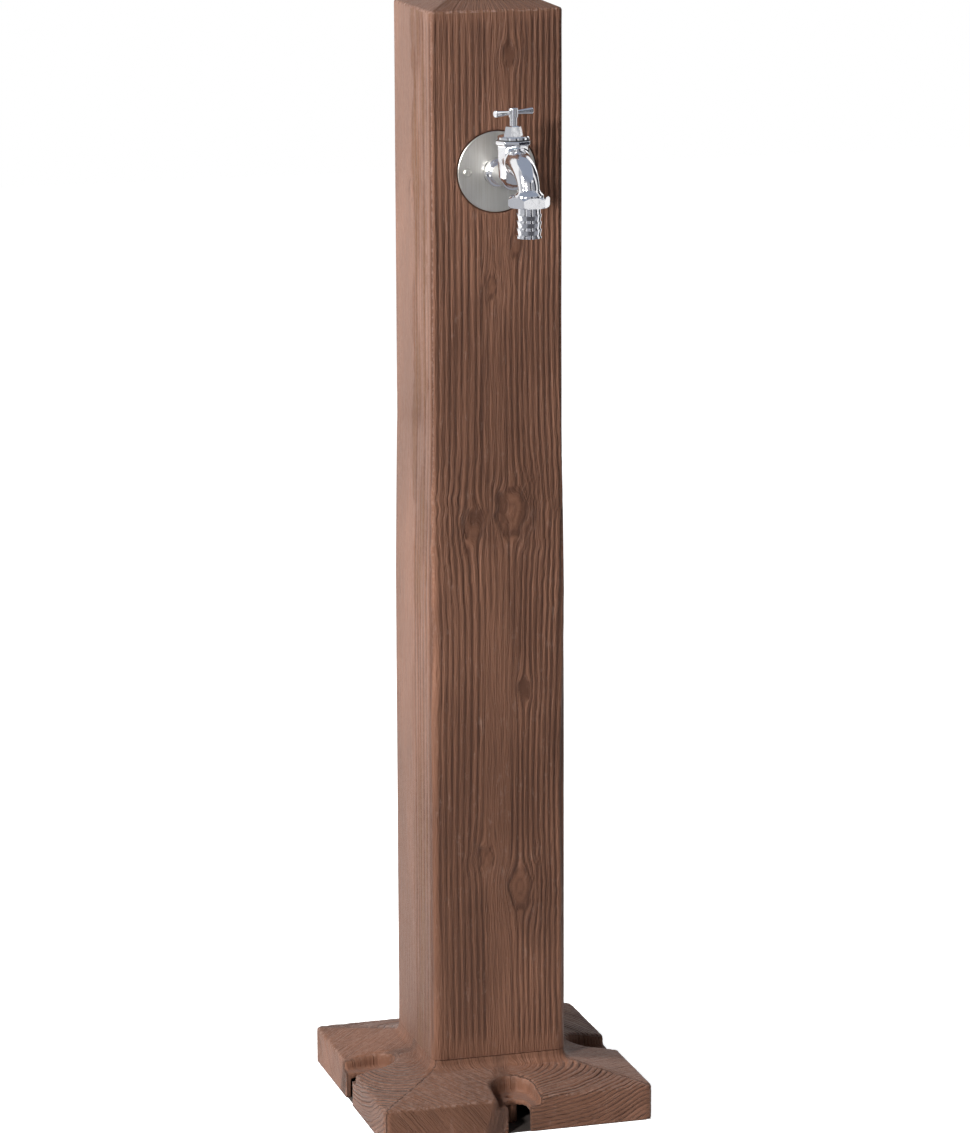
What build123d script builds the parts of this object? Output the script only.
from build123d import *

import os
from math import cos, pi, radians, sin

os.makedirs("parts", exist_ok=True)

# Garden standpipe: a hollow wood-look post with a bib tap near its top and a riser pipe inside.
# Millimetres. The origin is on the column's axis at ground level, +Z is up, the tap faces -Y.

# Post moulding
column_side = 118.0
column_swell = 2.6
swell_foot_height = 470.0
swell_top_height = 617.0
column_corner = 8.0
eave_height = 977.0
cap_rise = 23.0
cap_land = 9.0
cap_land_corner = 2.0
eave_round = 3.0
post_wall = 4.5
base_side = 246.0
base_corner = 6.0
base_rim = 32.0
base_rise = 12.0
rim_round = 3.0
foot_round = 7.0

# Slots in the base: a wide pocket over a narrow notch, with a screw boss behind the notch
pocket_width = 37.0
pocket_length = 42.0
pocket_floor = 23.0
pocket_floor_wall = 5.0
pocket_round = 4.5
notch_width = 20.0
notch_length = 23.0
boss_inset = 32.0
boss_diameter = 13.0
ground_screw_hole = 6.5
slot_count = 4

# Tap plate in its recess, and its screws
plate_diameter = 69.0
plate_thickness = 1.5
plate_edge = 0.4
recess_depth = 1.5
recess_gap = 1.2
plate_screw_reach = 26.0
screw_shank = 4.0
screw_head = 7.4
screw_head_height = 1.9
screw_recess_width = 1.0
screw_recess_span = 4.0
screw_recess_depth = 0.9
plate_nut_flats = 7.0
plate_nut_height = 3.2
plate_nut_bevel = 0.5
screw_spare = 1.5

# Tap body: where it stands on the post, its drop from the eave
tap_drop = 137.0
stem_reach = 49.0
outlet_reach = 94.0

# Tap body: inlet
inlet_thread = 20.9
inlet_thread_length = 17.0
inlet_flats = 24.4
inlet_collar_length = 8.5
inlet_collar_round = 2.2
inlet_washer_thickness = 1.0
inlet_washer_diameter = 24.0
barrel_diameter = 20.0
inlet_waterway = 13.0

# Tap body: neck, chamber and seat, heights above the inlet's axis
neck_flats = 29.0
neck_top = 33.0
neck_foot = 15.0
neck_top_bevel = 1.4
neck_foot_bevel = 3.0
neck_thread = 22.5
neck_thread_foot = 20.5
chamber_diameter = 26.4
chamber_dome_height = 8.6
chamber_bore = 18.0
seat_height = 8.0
seat_bore = 10.5
seat_lip_height = 1.2
seat_lip_wall = 1.6

# Tap body: spout, an S curve from the chamber to the outlet
spout_start = 24.0
spout_first_pull = 30.0
spout_last_pull = 22.0
spout_start_diameter = 26.0
spout_middle_diameter = 20.5
spout_end_diameter = 17.0
waterway_diameter = 10.5
waterway_start_forward = 3.0
waterway_start_height = 13.0
waterway_turn_forward = 12.0
waterway_turn_height = 5.0
waterway_end_pull = 25.0
collar_top_drop = 4.0
collar_shoulder = 3.4
outlet_thread = 24.6
outlet_thread_drop = 7.0
outlet_face_drop = 12.4
outlet_bore = 15.0
outlet_bore_depth = 3.0

# Headwork, gland and spindle, heights above the inlet's axis
headwork_flange = 27.0
headwork_flange_height = 2.6
headwork_bevel = 0.8
headwork_gasket_thickness = 1.0
spindle_thread = 9.0
spindle_thread_length = 5.0
spindle_thread_foot = 21.0
spindle_shank = 7.8
spindle_stem = 6.8
spindle_shoulder = 52.2
spindle_square = 4.4
spindle_square_length = 5.5
packing_diameter = 11.4
packing_height = 2.2
gland_thread_length = 2.6
gland_flats = 14.6
gland_top_flats = 11.2
gland_height = 8.6
gland_bevel = 0.8

# Valve jumper and its washer
jumper_plate = 14.0
jumper_plate_height = 2.0
jumper_stem = 5.0
jumper_stem_length = 7.0
seat_washer_diameter = 14.6
seat_washer_height = 3.0
jumper_stud = 3.4
washer_nut_flats = 6.0
washer_nut_height = 2.2
washer_nut_bevel = 0.4

# Tee handle
handle_length = 39.5
handle_waist = 3.6
handle_end = 6.2
handle_end_round = 0.8
handle_hub = 8.4
handle_hub_height = 8.0
handle_hub_round = 1.2
handle_turn = 22.0
handle_screw_head = 5.6
handle_screw_height = 1.5
handle_screw_shank = 2.6
handle_screw_length = 6.0

# Union nut, its gasket and the hose tail, drops below the inlet's axis
nut_flats = 31.4
nut_top_drop = 8.4
nut_foot_drop = 17.4
nut_top_bevel = 2.2
nut_foot_bevel = 1.4
union_gasket_diameter = 23.0
union_gasket_thickness = 1.4
union_gasket_bore = 13.5
tail_flange_diameter = 24.4
tail_flange_thickness = 1.8
tail_diameter = 19.2
tail_barb_diameter = 20.8
tail_bore = 13.0
tail_foot_drop = 43.4
tail_barbs = 3
tail_barb_pitch = 6.2
tail_rim = 1.8
tail_barb_land = 1.2

# Wall elbow behind the front wall
elbow_socket_diameter = 28.0
elbow_reach = 26.0
elbow_limb_diameter = 26.0
elbow_limb_length = 20.0
elbow_waterway = 15.0
elbow_ear_width = 15.0
elbow_ear_thickness = 4.0
elbow_gasket_thickness = 1.5

# Riser pipe and its compression joints
riser_diameter = 20.0
riser_wall = 2.0
spigot_thread = 25.0
spigot_length = 12.0
pipe_socket_depth = 9.0
riser_nut_flats = 32.0
riser_nut_lip = 4.0
riser_nut_bevel = 1.6
olive_height = 5.0
olive_diameter = 22.8
olive_bevel = 1.0

# Foot connector for the supply hose
connector_foot_height = 36.0
connector_tail_length = 30.0
connector_hex_flats = 28.0
connector_hex_length = 8.0
connector_hex_bevel = 1.2
connector_barbs = 4

# Spacers that hold the riser in the column
spacer_height = 12.0
spacer_wall = 3.0
spacer_collar_wall = 3.0
spacer_pad = 22.0

# Shapes that follow the piece that carries them
screw_dome_share = 0.85
barb_slope_share = 0.8
spout_section_shares = (0, 0.5, 1)
inlet_corner_share = 1.05
spacer_height_shares = (0.14, 0.5, 0.86)

# Clearances and the overrun of every cut
thread_gap = 0.15
screw_gap = 0.3
running_gap = 0.1
loose_gap = 0.4
cut_over = 2.0
level_band = 0.01

# Worked out from the sizes above
foot_height = base_rim + base_rise
total_height = eave_height + cap_rise
tap_height = eave_height - tap_drop
face_reach = column_side / 2
inner_reach = face_reach - post_wall
plate_back = face_reach - recess_depth
plate_face = plate_back + plate_thickness
hex_back = plate_face + inlet_washer_thickness
elbow_face = inner_reach - elbow_gasket_thickness
elbow_back = elbow_face - elbow_ear_thickness
riser_y = elbow_reach - elbow_face
stem_y = -(face_reach + stem_reach)
outlet_y = -(face_reach + outlet_reach)
inlet_hole = inlet_thread + 2 * loose_gap
inlet_thread_hole = inlet_thread + 2 * thread_gap
screw_hole = screw_shank + 2 * loose_gap
head_reach = plate_face + screw_head_height
screw_foot = elbow_back - plate_nut_height - screw_spare
boss_circle = base_side - 2 * boss_inset
jumper_top = seat_height + seat_washer_height + jumper_plate_height
headwork_base = neck_top + headwork_gasket_thickness
headwork_top = headwork_base + headwork_flange_height
packing_top = headwork_top - gland_thread_length
packing_foot = packing_top - packing_height
gasket_drop = outlet_face_drop + union_gasket_thickness
flange_drop = gasket_drop + tail_flange_thickness
spindle_top = spindle_shoulder + spindle_square_length
handle_foot = spindle_shoulder
handle_top = handle_foot + handle_hub_height
pipe_top = tap_height - elbow_limb_length - spigot_length + pipe_socket_depth
connector_top = connector_foot_height + connector_tail_length + connector_hex_length + spigot_length
pipe_foot = connector_top - pipe_socket_depth
riser_nut_height = spigot_length + olive_height + riser_nut_lip - loose_gap


def level_edges(part, height):
    """The edges of a part that lie in the level plane at a height."""
    return part.edges().filter_by_position(Axis.Z, height - level_band, height + level_band)


def upright(y, height):
    """A level plane whose origin is on the upright axis at y, facing up."""
    return Plane((0, y, height))


def hanging(y, height):
    """A level plane whose origin is on the upright axis at y, facing down."""
    return Plane(origin=(0, y, height), x_dir=(1, 0, 0), z_dir=(0, 0, -1))


def facing(reach):
    """The plane that faces the front at the tap's height, that far from the column's axis."""
    return Plane(origin=(0, -reach, tap_height), x_dir=(1, 0, 0), z_dir=(0, -1, 0))


def disc(plane, diameter):
    """A round outline on a plane."""
    with BuildSketch(plane) as outline:
        Circle(diameter / 2)
    return outline.sketch


def polygon(plane, flats, sides=6):
    """A regular outline on a plane, given across its flats."""
    with BuildSketch(plane) as outline:
        RegularPolygon(flats / 2, sides, major_radius=False)
    return outline.sketch


def nut_blank(plane, flats, height, foot_bevel, top_bevel, sides=6):
    """A prism that has its corners turned back by a bevel at either end."""
    along = Axis(plane.origin, plane.z_dir)
    with BuildPart() as blank:
        extrude(disc(plane, flats / cos(pi / sides)), amount=height)
        chamfer(blank.faces().sort_by(along)[0].edges(), foot_bevel)
        chamfer(blank.faces().sort_by(along)[-1].edges(), top_bevel)
        extrude(polygon(plane, flats, sides), amount=height, mode=Mode.INTERSECT)
    return blank.part


def screw_circles(reach, diameter):
    """Round outlines on the two plate screws, facing the front."""
    with BuildSketch(facing(reach)) as outline:
        with Locations((plate_screw_reach, 0), (-plate_screw_reach, 0)):
            Circle(diameter / 2)
    return outline.sketch


def ear_outline(reach):
    """The outline that the elbow and its gasket share: a round socket between two ears."""
    with BuildSketch(facing(reach)) as outline:
        SlotCenterToCenter(2 * plate_screw_reach, elbow_ear_width)
        Circle(elbow_socket_diameter / 2)
    return outline.sketch


def hose_tail_section(y, top, length, barbs):
    """Half the section of a hose tail that hangs from a height, with its barbs at the far end."""
    root = tail_diameter / 2
    barb = tail_barb_diameter / 2
    points = [(tail_bore / 2, 0), (root, 0)]
    for number in range(barbs, 0, -1):
        step = tail_rim + number * tail_barb_pitch - length
        points.append((root, step))
        points.append((barb, step))
        points.append((barb, step - tail_barb_land))
        points.append((root, step - tail_barb_pitch * barb_slope_share))
    points.append((root, tail_rim - length))
    points.append((barb, tail_rim - length))
    points.append((barb, -length))
    points.append((tail_bore / 2, -length))
    with BuildSketch(Plane(origin=(0, y, top), x_dir=(1, 0, 0), z_dir=(0, -1, 0))) as outline:
        with BuildLine():
            Polyline(*points, close=True)
        make_face()
    return outline.sketch


def rounded_square(side, corner, height):
    """A level square with rounded corners on the column's axis."""
    with BuildSketch(Plane.XY.offset(height)) as outline:
        RectangleRounded(side, side, corner)
    return outline.sketch


def post_form(inset, swell):
    """The post's form drawn in by inset: rim, hipped base top, column with a swell below, pyramid cap."""
    base = base_side - 2 * inset
    base_round = max(base_corner - inset, rim_round)
    column = column_side - 2 * inset
    foot_column = column + 2 * swell
    column_round = column_corner - inset
    rim_top = base_rim - inset
    eave = eave_height - inset
    extrude(rounded_square(base, base_round, 0), amount=rim_top)
    hip_foot = rounded_square(base, base_round, rim_top)
    hip_top = rounded_square(foot_column, column_round, foot_height - inset)
    loft([hip_foot, hip_top], ruled=True)
    extrude(rounded_square(foot_column, column_round, 0), amount=swell_foot_height)
    swell_foot = rounded_square(foot_column, column_round, swell_foot_height)
    swell_top = rounded_square(column, column_round, swell_top_height)
    loft([swell_foot, swell_top], ruled=True)
    extrude(rounded_square(column, column_round, swell_top_height), amount=eave - swell_top_height)
    cap_foot = rounded_square(column, column_round, eave)
    cap_top = rounded_square(cap_land, cap_land_corner, total_height - inset)
    loft([cap_foot, cap_top], ruled=True)


def slot_outline(width, length, height):
    """A level U-shaped outline, open at the rim, for the slot that points to +X."""
    rim = base_side / 2 + cut_over
    inner = base_side / 2 - length + width / 2
    with BuildSketch(Plane.XY.offset(height)) as outline:
        with BuildLine():
            Polyline((inner, -width / 2), (rim, -width / 2), (rim, width / 2), (inner, width / 2))
            ThreePointArc((inner, width / 2), (inner - width / 2, 0), (inner, -width / 2))
        make_face()
    return outline.sketch


def boss_circles(diameter):
    """Circles on the ground on the four screws."""
    with BuildSketch(Plane.XY) as outline:
        with PolarLocations(boss_circle / 2, slot_count):
            Circle(diameter / 2)
    return outline.sketch


def pocket_edges(part):
    """The edges where the pockets' walls meet the base's top and its rim."""
    rim = base_side / 2
    centre = rim - pocket_length + pocket_width / 2
    picked = []
    for edge in part.edges():
        middle = edge.position_at(0.5)
        out = max(abs(middle.X), abs(middle.Y))
        aside = min(abs(middle.X), abs(middle.Y))
        on_wall = abs(aside - pocket_width / 2) < level_band and out > centre + level_band
        on_arc = aside < level_band and abs(out - rim + pocket_length) < level_band
        if middle.Z > pocket_floor + level_band and (on_wall or on_arc):
            picked.append(edge)
    return picked


def compression_bores(plane):
    """Cut a compression nut's thread, its room for the olive and its hole for the pipe."""
    room = riser_nut_height - riser_nut_lip
    extrude(disc(plane, spigot_thread + 2 * thread_gap), amount=room, mode=Mode.SUBTRACT)
    extrude(disc(plane, riser_diameter + 2 * loose_gap), amount=riser_nut_height, mode=Mode.SUBTRACT)


def olive_ring(plane):
    """Add the bevelled ring that a compression nut squeezes round the pipe."""
    seat = plane.offset(spigot_length - loose_gap)
    extrude(disc(seat, olive_diameter), amount=olive_height)
    chamfer(faces().filter_by(GeomType.PLANE).edges(), olive_bevel)
    extrude(disc(seat, riser_diameter + 2 * running_gap), amount=olive_height, mode=Mode.SUBTRACT)


def nut_collar(diameter, top_drop, foot_drop):
    """The outlet's threaded collar, with a wide shoulder turned back to the spout."""
    with BuildPart() as blank:
        top = hanging(outlet_y, tap_height - top_drop)
        extrude(disc(top, diameter), amount=foot_drop - top_drop)
        chamfer(blank.faces().sort_by(Axis.Z)[-1].edges(), collar_shoulder)
    return blank.part


# Post moulding: the hollow first, then the outer form with the hollow and the slots taken out
with BuildPart() as pocket_jacket:
    with BuildSketch(Plane.XY.offset(pocket_floor - pocket_floor_wall)):
        add(slot_outline(pocket_width + 2 * post_wall, pocket_length + post_wall, 0))
    extrude(amount=foot_height)

with BuildPart() as hollow:
    post_form(post_wall, 0)
    with PolarLocations(0, slot_count):
        add(pocket_jacket.part, mode=Mode.SUBTRACT)
    extrude(boss_circles(boss_diameter), amount=pocket_floor, mode=Mode.SUBTRACT)

with BuildPart() as pocket:
    extrude(slot_outline(pocket_width, pocket_length, pocket_floor), amount=foot_height)
    extrude(slot_outline(notch_width, notch_length, 0), amount=pocket_floor)

with BuildPart() as post:
    post_form(0, column_swell)
    fillet(level_edges(post, foot_height), foot_round)
    fillet(level_edges(post, base_rim), rim_round)
    fillet(level_edges(post, eave_height), eave_round)
    with PolarLocations(0, slot_count):
        add(pocket.part, mode=Mode.SUBTRACT)
    fillet(pocket_edges(post), pocket_round)
    add(hollow.part, mode=Mode.SUBTRACT)
    extrude(boss_circles(ground_screw_hole), amount=foot_height, mode=Mode.SUBTRACT)
    recess = disc(facing(face_reach), plate_diameter + 2 * recess_gap)
    extrude(recess, amount=-recess_depth, mode=Mode.SUBTRACT)
    extrude(disc(facing(face_reach), inlet_hole), amount=-post_wall - cut_over, mode=Mode.SUBTRACT)
    extrude(screw_circles(face_reach, screw_hole), amount=-post_wall - cut_over, mode=Mode.SUBTRACT)

# Tap plate: the stainless disc that lies in the recess
with BuildPart() as tap_plate:
    extrude(disc(facing(plate_back), plate_diameter), amount=plate_thickness)
    chamfer(tap_plate.faces().sort_by(Axis.Y)[0].edges(), plate_edge)
    extrude(disc(facing(plate_back), inlet_hole), amount=plate_thickness, mode=Mode.SUBTRACT)
    extrude(screw_circles(plate_back, screw_hole), amount=plate_thickness, mode=Mode.SUBTRACT)

# Plate screws: domed heads on the plate, shanks through wall, gasket and ears
with BuildPart() as plate_screws:
    extrude(screw_circles(plate_face, screw_head), amount=screw_head_height)
    heads = plate_screws.faces().sort_by(Axis.Y).group_by(Axis.Y)[0]
    fillet(heads.edges(), screw_head_height * screw_dome_share)
    with BuildSketch(facing(head_reach)):
        with Locations((plate_screw_reach, 0), (-plate_screw_reach, 0)):
            Rectangle(screw_recess_width, screw_recess_span)
            Rectangle(screw_recess_span, screw_recess_width)
    extrude(amount=-screw_recess_depth, mode=Mode.SUBTRACT)
    extrude(screw_circles(plate_face, screw_shank), amount=screw_foot - plate_face)

# Plate nuts behind the elbow's ears
plate_nut = nut_blank(facing(elbow_back - plate_nut_height), plate_nut_flats, plate_nut_height,
                      plate_nut_bevel, plate_nut_bevel)
with BuildPart() as plate_nuts:
    with Locations((plate_screw_reach, 0), (-plate_screw_reach, 0)):
        add(plate_nut)
    shanks = screw_circles(elbow_back, screw_shank + 2 * thread_gap)
    extrude(shanks, amount=-plate_nut_height, mode=Mode.SUBTRACT)

# Wall elbow: a socket for the tap's tail, two ears and a limb that turns down to the riser
with BuildPart() as wall_elbow:
    extrude(ear_outline(elbow_face), amount=-elbow_ear_thickness)
    extrude(disc(facing(elbow_face), elbow_socket_diameter), amount=-elbow_reach)
    with Locations((0, riser_y, tap_height)):
        Sphere(elbow_socket_diameter / 2)
    extrude(disc(hanging(riser_y, tap_height), elbow_limb_diameter), amount=elbow_limb_length)
    spigot = disc(hanging(riser_y, tap_height), spigot_thread)
    extrude(spigot, amount=elbow_limb_length + spigot_length)
    tail_depth = elbow_face - hex_back + inlet_thread_length + loose_gap
    extrude(disc(facing(elbow_face), inlet_thread_hole), amount=-tail_depth, mode=Mode.SUBTRACT)
    extrude(disc(facing(elbow_face), elbow_waterway), amount=-elbow_reach, mode=Mode.SUBTRACT)
    waterway = disc(hanging(riser_y, tap_height), elbow_waterway)
    extrude(waterway, amount=elbow_limb_length + spigot_length, mode=Mode.SUBTRACT)
    pipe_socket = disc(upright(riser_y, pipe_top - pipe_socket_depth), riser_diameter + 2 * running_gap)
    extrude(pipe_socket, amount=pipe_socket_depth, mode=Mode.SUBTRACT)
    extrude(screw_circles(elbow_face, screw_hole), amount=-elbow_ear_thickness, mode=Mode.SUBTRACT)

# Elbow gasket between the ears and the inside of the wall
with BuildPart() as elbow_gasket:
    extrude(ear_outline(inner_reach), amount=-elbow_gasket_thickness)
    extrude(disc(facing(inner_reach), inlet_hole), amount=-elbow_gasket_thickness, mode=Mode.SUBTRACT)
    extrude(screw_circles(inner_reach, screw_hole), amount=-elbow_gasket_thickness, mode=Mode.SUBTRACT)

# Riser pipe
with BuildPart() as riser_pipe:
    with BuildSketch(upright(riser_y, pipe_foot)):
        Circle(riser_diameter / 2)
        Circle(riser_diameter / 2 - riser_wall, mode=Mode.SUBTRACT)
    extrude(amount=pipe_top - pipe_foot)

# Compression joints: a nut and an olive at the elbow, and the same at the foot
elbow_joint = hanging(riser_y, tap_height - elbow_limb_length - loose_gap)
foot_joint = upright(riser_y, connector_top - spigot_length + loose_gap)
riser_nut_sizes = (riser_nut_flats, riser_nut_height, riser_nut_bevel, riser_nut_bevel)
elbow_nut_blank = nut_blank(elbow_joint, *riser_nut_sizes)
foot_nut_blank = nut_blank(foot_joint, *riser_nut_sizes)

with BuildPart() as elbow_nut:
    add(elbow_nut_blank)
    compression_bores(elbow_joint)

with BuildPart() as foot_nut:
    add(foot_nut_blank)
    compression_bores(foot_joint)

with BuildPart() as elbow_olive:
    olive_ring(elbow_joint)

with BuildPart() as foot_olive:
    olive_ring(foot_joint)

# Foot connector: spigot for the riser, hexagon and a barbed tail for the supply hose
connector_waist = connector_foot_height + connector_tail_length
connector_hex = nut_blank(upright(riser_y, connector_waist), connector_hex_flats, connector_hex_length,
                          connector_hex_bevel, connector_hex_bevel)
with BuildPart() as foot_connector:
    add(connector_hex)
    spigot_plane = upright(riser_y, connector_top - spigot_length)
    extrude(disc(spigot_plane, spigot_thread), amount=spigot_length)
    section = hose_tail_section(riser_y, connector_waist, connector_tail_length, connector_barbs)
    revolve(section, axis=Axis((0, riser_y, 0), (0, 0, 1)))
    bore_plane = upright(riser_y, connector_foot_height)
    extrude(disc(bore_plane, tail_bore), amount=connector_top - connector_foot_height, mode=Mode.SUBTRACT)
    pipe_hole = disc(upright(riser_y, pipe_foot), riser_diameter + 2 * running_gap)
    extrude(pipe_hole, amount=pipe_socket_depth, mode=Mode.SUBTRACT)

# Riser spacers: padded bars to three of the column's walls, with a collar round the pipe
spacer_reach = inner_reach - loose_gap
pad_reach = spacer_reach - spacer_wall / 2
spacer_range = pipe_top - pipe_foot
with BuildPart() as spacer:
    with BuildSketch():
        Rectangle(2 * spacer_reach, spacer_wall)
        with Locations((pad_reach, 0), (-pad_reach, 0)):
            Rectangle(spacer_wall, spacer_pad)
        with Locations((0, -(spacer_reach + riser_y) / 2)):
            Rectangle(spacer_wall, spacer_reach + riser_y)
        with Locations((0, -pad_reach - riser_y)):
            Rectangle(spacer_pad, spacer_wall)
        Circle(riser_diameter / 2 + spacer_collar_wall)
        Circle(riser_diameter / 2 + running_gap, mode=Mode.SUBTRACT)
    extrude(amount=spacer_height)

with BuildPart() as riser_spacers:
    for share in spacer_height_shares:
        with Locations((0, riser_y, pipe_foot + share * spacer_range - spacer_height / 2)):
            add(spacer.part)

# Inlet washer between the tap plate and the tap's hexagon
with BuildPart() as inlet_washer:
    with BuildSketch(facing(plate_face)):
        Circle(inlet_washer_diameter / 2)
        Circle(inlet_hole / 2, mode=Mode.SUBTRACT)
    extrude(amount=inlet_washer_thickness)

# Tap body: tail, collar and barrel behind, eight-sided neck above, S-shaped spout in front
with BuildPart() as inlet_collar:
    extrude(disc(facing(hex_back), inlet_flats * inlet_corner_share), amount=inlet_collar_length)
    fillet(inlet_collar.faces().sort_by(Axis.Y)[0].edges(), inlet_collar_round)
    extrude(polygon(facing(hex_back), inlet_flats), amount=inlet_collar_length, mode=Mode.INTERSECT)
neck = nut_blank(upright(stem_y, tap_height + neck_foot), neck_flats, neck_top - neck_foot,
                 neck_foot_bevel, neck_top_bevel, sides=8)
collar = nut_collar(outlet_thread, collar_top_drop, outlet_face_drop)
spout_top = tap_height + spout_start
spout_foot = tap_height - outlet_thread_drop
with BuildPart() as tap_body:
    with BuildLine() as spout_line:
        Bezier(
            (0, stem_y, spout_top),
            (0, stem_y, spout_top - spout_first_pull),
            (0, outlet_y, spout_foot + spout_last_pull),
            (0, outlet_y, spout_foot),
        )
    diameters = (spout_start_diameter, spout_middle_diameter, spout_end_diameter)
    for share, diameter in zip(spout_section_shares, diameters):
        with BuildSketch(Plane(origin=spout_line.line @ share, z_dir=spout_line.line % share)):
            Circle(diameter / 2)
    sweep(path=spout_line.line, multisection=True)
    add(collar)
    add(neck)
    add(inlet_collar.part)
    extrude(disc(facing(hex_back), barrel_diameter), amount=-stem_y - hex_back)
    extrude(disc(facing(hex_back), inlet_thread), amount=-inlet_thread_length)
    with Locations((0, stem_y, tap_height)):
        Sphere(barrel_diameter / 2)
    chamber_dome = upright(stem_y, tap_height + chamber_dome_height)
    extrude(disc(chamber_dome, chamber_diameter), amount=neck_foot_bevel + neck_foot - chamber_dome_height)
    with Locations(chamber_dome):
        Sphere(chamber_diameter / 2)
    neck_bore = disc(upright(stem_y, tap_height + neck_thread_foot), neck_thread + 2 * thread_gap)
    extrude(neck_bore, amount=neck_top, mode=Mode.SUBTRACT)
    with BuildSketch(upright(stem_y, tap_height + seat_height - seat_lip_height)):
        Circle(chamber_bore / 2)
        Circle(seat_bore / 2 + seat_lip_wall, mode=Mode.SUBTRACT)
    extrude(amount=seat_lip_height, mode=Mode.SUBTRACT)
    chamber_hole = disc(upright(stem_y, tap_height + seat_height), chamber_bore)
    extrude(chamber_hole, amount=neck_top, mode=Mode.SUBTRACT)
    extrude(disc(upright(stem_y, tap_height), seat_bore), amount=seat_height, mode=Mode.SUBTRACT)
    inlet_back = hex_back - inlet_thread_length
    inlet_bore = disc(facing(inlet_back), inlet_waterway)
    extrude(inlet_bore, amount=-stem_y - inlet_back, mode=Mode.SUBTRACT)
    outlet_face = upright(outlet_y, tap_height - outlet_face_drop)
    extrude(disc(outlet_face, outlet_bore), amount=outlet_bore_depth, mode=Mode.SUBTRACT)
    with BuildLine() as water_line:
        Bezier(
            (0, stem_y - waterway_start_forward, tap_height + waterway_start_height),
            (0, stem_y - waterway_turn_forward, tap_height + waterway_turn_height),
            (0, outlet_y, tap_height - outlet_face_drop + waterway_end_pull),
            (0, outlet_y, tap_height - outlet_face_drop),
        )
    with BuildSketch(Plane(origin=water_line.line @ 0, z_dir=water_line.line % 0)):
        Circle(waterway_diameter / 2)
    sweep(path=water_line.line, mode=Mode.SUBTRACT)

# Headwork and its gasket: screws into the neck and carries the spindle's thread
with BuildPart() as headwork_gasket:
    with BuildSketch(upright(stem_y, tap_height + neck_top)):
        Circle(headwork_flange / 2)
        Circle(neck_thread / 2 + thread_gap, mode=Mode.SUBTRACT)
    extrude(amount=headwork_gasket_thickness)

with BuildPart() as headwork:
    flange = disc(upright(stem_y, tap_height + headwork_base), headwork_flange)
    extrude(flange, amount=headwork_flange_height)
    chamfer(headwork.faces().sort_by(Axis.Z)[-1].edges(), headwork_bevel)
    skirt_foot = neck_thread_foot + loose_gap
    skirt = disc(upright(stem_y, tap_height + skirt_foot), neck_thread)
    extrude(skirt, amount=headwork_base - skirt_foot)
    thread_hole = disc(upright(stem_y, tap_height + skirt_foot), spindle_thread + 2 * thread_gap)
    extrude(thread_hole, amount=packing_foot - skirt_foot, mode=Mode.SUBTRACT)
    packing_room = disc(upright(stem_y, tap_height + packing_foot), packing_diameter + 2 * thread_gap)
    extrude(packing_room, amount=headwork_top - packing_foot, mode=Mode.SUBTRACT)

# Gland packing and the tapered gland nut over it
with BuildPart() as gland_packing:
    with BuildSketch(upright(stem_y, tap_height + packing_foot)):
        Circle(packing_diameter / 2)
        Circle(spindle_stem / 2 + running_gap, mode=Mode.SUBTRACT)
    extrude(amount=packing_height)

with BuildPart() as gland_nut:
    gland_foot = upright(stem_y, tap_height + headwork_top)
    loft([polygon(gland_foot, gland_flats), polygon(gland_foot.offset(gland_height), gland_top_flats)])
    chamfer(gland_nut.faces().sort_by(Axis.Z)[-1].edges(), gland_bevel)
    extrude(disc(gland_foot, packing_diameter), amount=-gland_thread_length)
    stem_hole = disc(gland_foot.offset(-gland_thread_length), spindle_stem + 2 * running_gap)
    extrude(stem_hole, amount=gland_thread_length + gland_height, mode=Mode.SUBTRACT)

# Spindle: shank with a socket for the jumper, thread, stem and the handle's square
with BuildPart() as spindle:
    shank = disc(upright(stem_y, tap_height + jumper_top), spindle_shank)
    extrude(shank, amount=spindle_thread_foot - jumper_top)
    thread = disc(upright(stem_y, tap_height + spindle_thread_foot), spindle_thread)
    extrude(thread, amount=spindle_thread_length)
    stem = disc(upright(stem_y, tap_height + spindle_thread_foot), spindle_stem)
    extrude(stem, amount=spindle_shoulder - spindle_thread_foot)
    with BuildSketch(upright(stem_y, tap_height + spindle_shoulder)):
        Rectangle(spindle_square, spindle_square, rotation=handle_turn)
    extrude(amount=spindle_square_length)
    socket = disc(upright(stem_y, tap_height + jumper_top), jumper_stem + 2 * running_gap)
    extrude(socket, amount=jumper_stem_length + loose_gap, mode=Mode.SUBTRACT)
    tapping = disc(hanging(stem_y, tap_height + spindle_top), handle_screw_shank + 2 * thread_gap)
    extrude(tapping, amount=handle_screw_length, mode=Mode.SUBTRACT)

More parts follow.
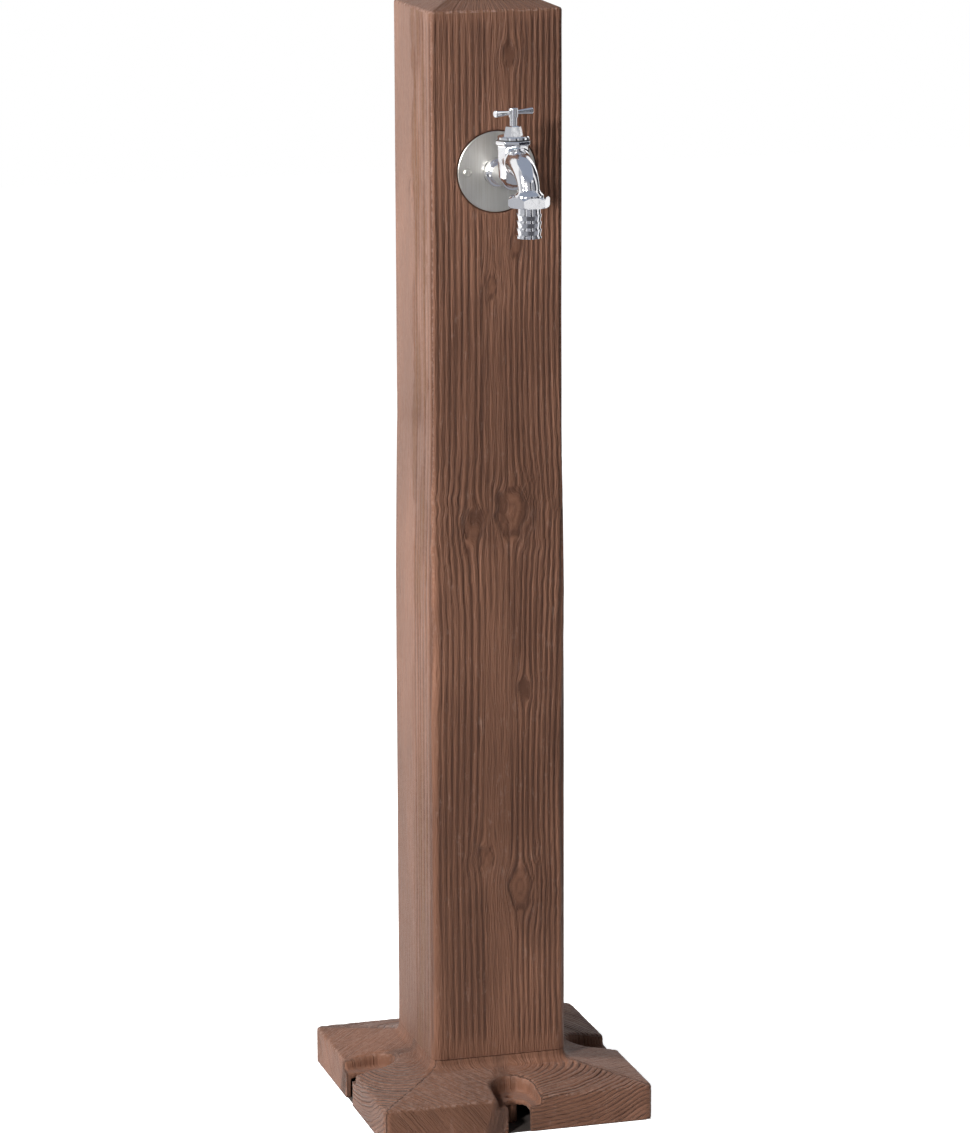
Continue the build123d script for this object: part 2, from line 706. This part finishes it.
# Tee handle: hub on the spindle's square and a bar that thickens towards both ends
bar_height = tap_height + (handle_foot + handle_top) / 2
bar_way = (cos(radians(handle_turn)), sin(radians(handle_turn)), 0)
bar_side = (sin(radians(handle_turn)), -cos(radians(handle_turn)), 0)
bar_plane = Plane(origin=(0, stem_y, bar_height), x_dir=bar_way, z_dir=bar_side)
with BuildPart() as tee_handle:
    with BuildSketch(bar_plane):
        with BuildLine():
            Polyline(
                (-handle_length / 2, 0),
                (-handle_length / 2, handle_end / 2),
                (-handle_hub / 2, handle_waist / 2),
                (handle_hub / 2, handle_waist / 2),
                (handle_length / 2, handle_end / 2),
                (handle_length / 2, 0),
                close=True,
            )
        make_face()
    revolve(axis=Axis(bar_plane.origin, bar_plane.x_dir))
    fillet(tee_handle.faces().filter_by(GeomType.PLANE).edges(), handle_end_round)
    hub_foot = upright(stem_y, tap_height + handle_foot)
    extrude(disc(hub_foot, handle_hub), amount=handle_hub_height)
    fillet(tee_handle.faces().sort_by(Axis.Z)[-1].edges(), handle_hub_round)
    with BuildSketch(hub_foot):
        Rectangle(spindle_square + 2 * running_gap, spindle_square + 2 * running_gap, rotation=handle_turn)
    extrude(amount=spindle_square_length + loose_gap, mode=Mode.SUBTRACT)
    hub_top = hanging(stem_y, tap_height + handle_top)
    screw_way = disc(hub_top, handle_screw_shank + 2 * thread_gap)
    extrude(screw_way, amount=handle_hub_height, mode=Mode.SUBTRACT)
    screw_seat = disc(hub_top, handle_screw_head + 2 * running_gap)
    extrude(screw_seat, amount=handle_screw_height, mode=Mode.SUBTRACT)

# Handle screw, flush in the hub's top
with BuildPart() as handle_screw:
    extrude(disc(hub_top, handle_screw_head), amount=handle_screw_height)
    extrude(disc(hub_top, handle_screw_shank), amount=handle_screw_height + handle_screw_length)
    with BuildSketch(hub_top):
        Rectangle(screw_recess_width, screw_recess_span)
        Rectangle(screw_recess_span, screw_recess_width)
    extrude(amount=screw_recess_depth, mode=Mode.SUBTRACT)

# Valve: jumper that stands in the spindle, rubber washer on the seat and the nut that holds it
with BuildPart() as valve_jumper:
    plate_plane = upright(stem_y, tap_height + jumper_top - jumper_plate_height)
    extrude(disc(plate_plane, jumper_plate), amount=jumper_plate_height)
    extrude(disc(plate_plane, jumper_stem), amount=jumper_plate_height + jumper_stem_length)
    extrude(disc(plate_plane, jumper_stud), amount=-seat_washer_height - washer_nut_height)

with BuildPart() as seat_washer:
    with BuildSketch(upright(stem_y, tap_height + seat_height)):
        Circle(seat_washer_diameter / 2)
        Circle(jumper_stud / 2 + running_gap, mode=Mode.SUBTRACT)
    extrude(amount=seat_washer_height)

washer_nut_blank = nut_blank(hanging(stem_y, tap_height + seat_height), washer_nut_flats, washer_nut_height,
                             washer_nut_bevel, washer_nut_bevel)
with BuildPart() as washer_nut:
    add(washer_nut_blank)
    stud_hole = disc(hanging(stem_y, tap_height + seat_height), jumper_stud + 2 * running_gap)
    extrude(stud_hole, amount=washer_nut_height, mode=Mode.SUBTRACT)

# Union gasket, hose tail and the union nut that pulls them to the outlet
with BuildPart() as union_gasket:
    with BuildSketch(hanging(outlet_y, tap_height - outlet_face_drop)):
        Circle(union_gasket_diameter / 2)
        Circle(union_gasket_bore / 2, mode=Mode.SUBTRACT)
    extrude(amount=union_gasket_thickness)

with BuildPart() as hose_tail:
    tail_top = tap_height - gasket_drop
    section = hose_tail_section(outlet_y, tail_top, tail_foot_drop - gasket_drop, tail_barbs)
    revolve(section, axis=Axis((0, outlet_y, 0), (0, 0, 1)))
    flange = disc(hanging(outlet_y, tail_top), tail_flange_diameter)
    extrude(flange, amount=tail_flange_thickness)
    extrude(disc(hanging(outlet_y, tail_top), tail_bore), amount=tail_foot_drop, mode=Mode.SUBTRACT)

nut_top = hanging(outlet_y, tap_height - nut_top_drop)
nut_height = nut_foot_drop - nut_top_drop
union_nut_blank = nut_blank(nut_top, nut_flats, nut_height, nut_top_bevel, nut_foot_bevel)
with BuildPart() as union_nut:
    add(union_nut_blank)
    nut_thread = disc(nut_top, outlet_thread + 2 * screw_gap)
    extrude(nut_thread, amount=flange_drop - nut_top_drop, mode=Mode.SUBTRACT)
    nut_hole = disc(nut_top, tail_diameter + 2 * screw_gap)
    extrude(nut_hole, amount=nut_height, mode=Mode.SUBTRACT)

# Every piece is written as its own solid, under its own name
pieces = {
    "post": post,
    "tap_plate": tap_plate,
    "plate_screws": plate_screws,
    "plate_nuts": plate_nuts,
    "wall_elbow": wall_elbow,
    "elbow_gasket": elbow_gasket,
    "elbow_nut": elbow_nut,
    "elbow_olive": elbow_olive,
    "riser_pipe": riser_pipe,
    "riser_spacers": riser_spacers,
    "foot_nut": foot_nut,
    "foot_olive": foot_olive,
    "foot_connector": foot_connector,
    "inlet_washer": inlet_washer,
    "tap_body": tap_body,
    "headwork_gasket": headwork_gasket,
    "headwork": headwork,
    "gland_packing": gland_packing,
    "gland_nut": gland_nut,
    "spindle": spindle,
    "tee_handle": tee_handle,
    "handle_screw": handle_screw,
    "valve_jumper": valve_jumper,
    "seat_washer": seat_washer,
    "washer_nut": washer_nut,
    "union_gasket": union_gasket,
    "hose_tail": hose_tail,
    "union_nut": union_nut,
}
for name, piece in pieces.items():
    piece.part.label = name
    export_step(piece.part, f"parts/{name}.step")
